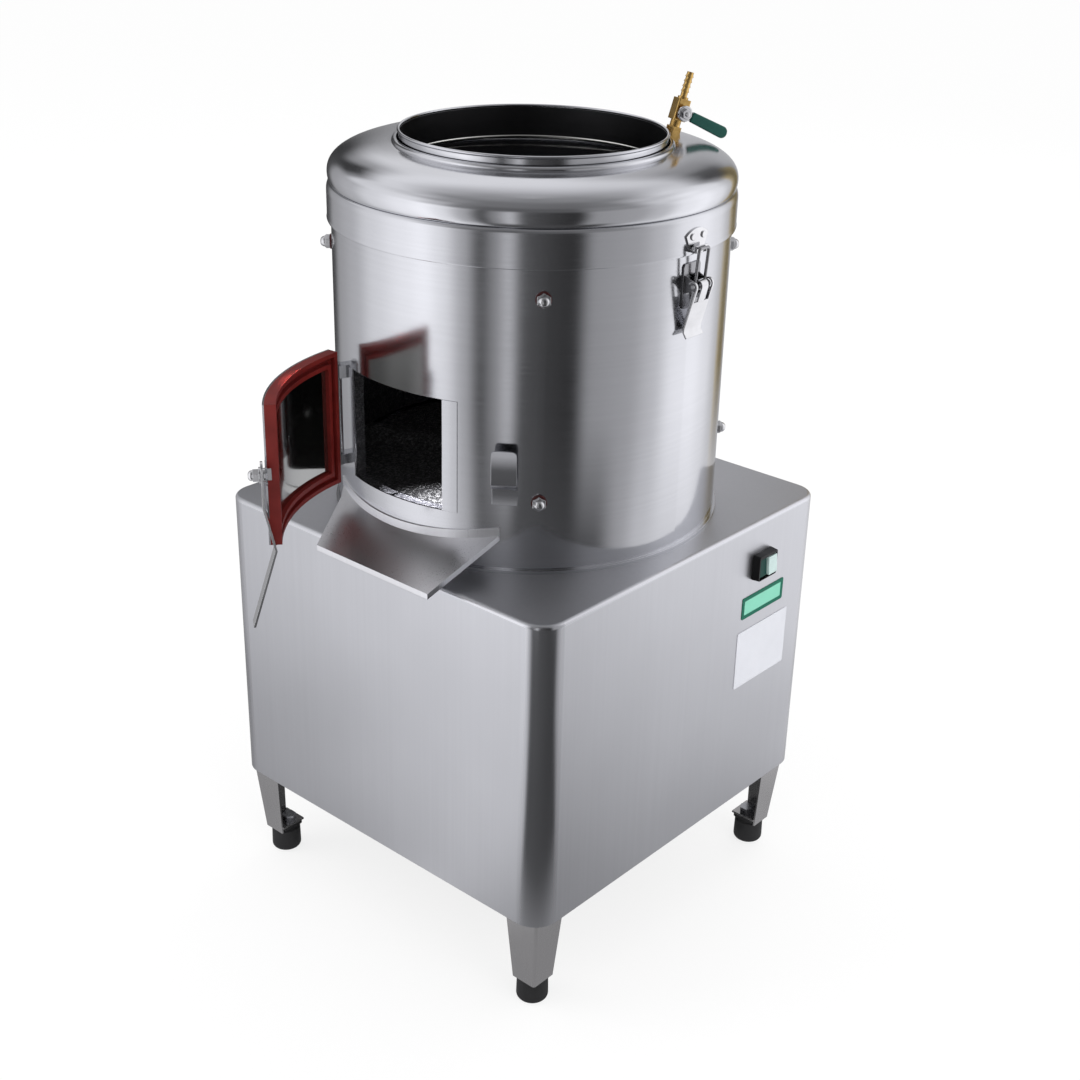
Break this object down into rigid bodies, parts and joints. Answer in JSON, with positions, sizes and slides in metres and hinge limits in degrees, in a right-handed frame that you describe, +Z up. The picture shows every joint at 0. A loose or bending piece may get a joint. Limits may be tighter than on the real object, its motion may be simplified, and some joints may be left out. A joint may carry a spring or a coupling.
{
  "type": "potato peeler machine",
  "caption": "Floor-standing abrasive potato peeler: square sheet cabinet on tapered legs, round drum with lid, water valve, side latches, hinged discharge door and chute",
  "frame": {"origin": "on the floor, under the centre of the round peeling drum", "axes": "+Z up along the drum's axis, front with the discharge door toward -Y, right with the switch toward +X"},
  "size_m": [0.431, 0.5917, 0.8211],
  "materials": {
    "satin_sheet": "satin brushed stainless sheet",
    "leg_sheet": "satin stainless sheet",
    "polished_sheet": "polished stainless sheet",
    "bright_steel": "bright stainless fittings",
    "zinc_bolts": "zinc plated bolts",
    "drive_steel": "plain and painted steel of the drive",
    "cast_drive": "grey cast iron",
    "motor_case": "cast aluminium motor case",
    "disc_aluminium": "cast aluminium carrier",
    "abrasive": "silicon carbide grit",
    "black_rubber": "black rubber",
    "red_rubber": "red silicone rubber",
    "brass_fittings": "plated brass",
    "green_grip": "green plastic sleeve",
    "black_plastic": "black plastic",
    "green_rocker": "green translucent plastic"
  },
  "bodies": {
    "frame": {"base_cabinet": "satin_sheet", "frame_bolts": "zinc_bolts", "motor_rails": "drive_steel", "motor_plate": "drive_steel", "motor_housing": "motor_case", "drum_shell": "polished_sheet", "drum_floor": "polished_sheet", "opening_jambs": "polished_sheet", "liner_front_right": "abrasive", "liner_front_left": "abrasive", "liner_rear_left": "abrasive", "liner_rear_right": "abrasive", "liner_bolts": "bright_steel", "liner_washers": "red_rubber", "door_hinge_brackets": "polished_sheet", "door_hinge_pin": "bright_steel", "discharge_chute": "satin_sheet", "door_catch": "polished_sheet", "latch_bases": "bright_steel", "bearing_housing": "cast_drive", "shaft_bearings": "drive_steel", "shaft_seal": "black_rubber", "drain_outlet": "satin_sheet", "switch_bezel": "black_plastic", "cable_gland": "black_plastic", "drive_belt": "black_rubber", "leg_front_left": "leg_sheet", "foot_front_left": "black_rubber", "leg_front_right": "leg_sheet", "foot_front_right": "black_rubber", "leg_rear_left": "leg_sheet", "foot_rear_left": "black_rubber", "leg_rear_right": "leg_sheet", "foot_rear_right": "black_rubber"},
    "rotor": {"main_shaft": "drive_steel", "driven_pulley": "cast_drive", "disc_carrier": "disc_aluminium", "abrasive_disc": "abrasive", "disc_nut": "drive_steel"},
    "motor_rotor": {"motor_shaft": "drive_steel", "motor_pulley": "cast_drive"},
    "door": {"door_panel": "polished_sheet", "door_inner_panel": "polished_sheet", "door_seal": "red_rubber", "door_hinge_barrel": "bright_steel", "door_lever_bolt": "bright_steel"},
    "door_lever": {"door_lever": "bright_steel"},
    "lid": {"lid_dome": "polished_sheet", "lid_skirt": "polished_sheet", "feed_neck": "polished_sheet", "latch_strikers": "bright_steel", "water_valve_body": "brass_fittings", "spray_nozzle": "brass_fittings"},
    "valve_handle": {"valve_handle": "bright_steel", "valve_grip": "green_grip"},
    "latch_lever_right": {"latch_lever_right": "bright_steel"},
    "latch_lever_left": {"latch_lever_left": "bright_steel"},
    "latch_loop_right": {"latch_loop_right": "bright_steel"},
    "latch_loop_left": {"latch_loop_left": "bright_steel"},
    "switch_rocker": {"switch_rocker": "green_rocker"}
  },
  "joints": [
    {"name": "lid_lift", "type": "slide", "parent": "frame", "child": "lid", "axis": [0, 0, 1], "range_m": [0, 0.12]},
    {"name": "valve_turn", "type": "hinge", "parent": "lid", "child": "valve_handle", "pos_m": [0.07254, 0.12954, 0.78465], "axis": [0.9063, -0.4226, 0], "range_deg": [0, 107]},
    {"name": "rotor_spin", "type": "hinge", "parent": "frame", "child": "rotor", "pos_m": [0, 0, 0.44], "axis": [0, 0, 1], "continuous": true},
    {"name": "motor_spin", "type": "hinge", "parent": "frame", "child": "motor_rotor", "pos_m": [0, 0.133, 0.24], "axis": [0, 0, 1], "continuous": true},
    {"name": "door_swing", "type": "hinge", "parent": "frame", "child": "door", "pos_m": [-0.0731, -0.18002, 0.53], "axis": [0, 0, 1], "range_deg": [0, 65.35]},
    {"name": "door_lever_turn", "type": "hinge", "parent": "door", "child": "door_lever", "pos_m": [-0.00003, -0.32997, 0.535], "axis": [-0.6067, -0.7949, 0], "range_deg": [0, 145]},
    {"name": "latch_lever_right_turn", "type": "hinge", "parent": "frame", "child": "latch_lever_right", "pos_m": [0.196, 0, 0.672], "axis": [0, -1, 0], "range_deg": [0, 120]},
    {"name": "latch_lever_left_turn", "type": "hinge", "parent": "frame", "child": "latch_lever_left", "pos_m": [-0.196, 0, 0.672], "axis": [0, 1, 0], "range_deg": [0, 120]},
    {"name": "latch_loop_right_swing", "type": "hinge", "parent": "latch_lever_right", "child": "latch_loop_right", "pos_m": [0.194, 0, 0.664], "axis": [0, -1, 0], "range_deg": [-138, 0]},
    {"name": "latch_loop_left_swing", "type": "hinge", "parent": "latch_lever_left", "child": "latch_loop_left", "pos_m": [-0.194, 0, 0.664], "axis": [0, 1, 0], "range_deg": [-138, 0]},
    {"name": "switch_rock", "type": "hinge", "parent": "frame", "child": "switch_rocker", "pos_m": [0.214, 0.112, 0.372], "axis": [0, 1, 0], "range_deg": [0, 20]}
  ],
  "couplings": [
    {"joint": "motor_spin", "follows": "rotor_spin", "ratio": 3.5385},
    {"joint": "door_lever_turn", "follows": "door_swing", "ratio": 2.2188},
    {"joint": "latch_loop_right_swing", "follows": "latch_lever_right_turn", "ratio": -1.15},
    {"joint": "latch_loop_left_swing", "follows": "latch_lever_left_turn", "ratio": -1.15}
  ]
}
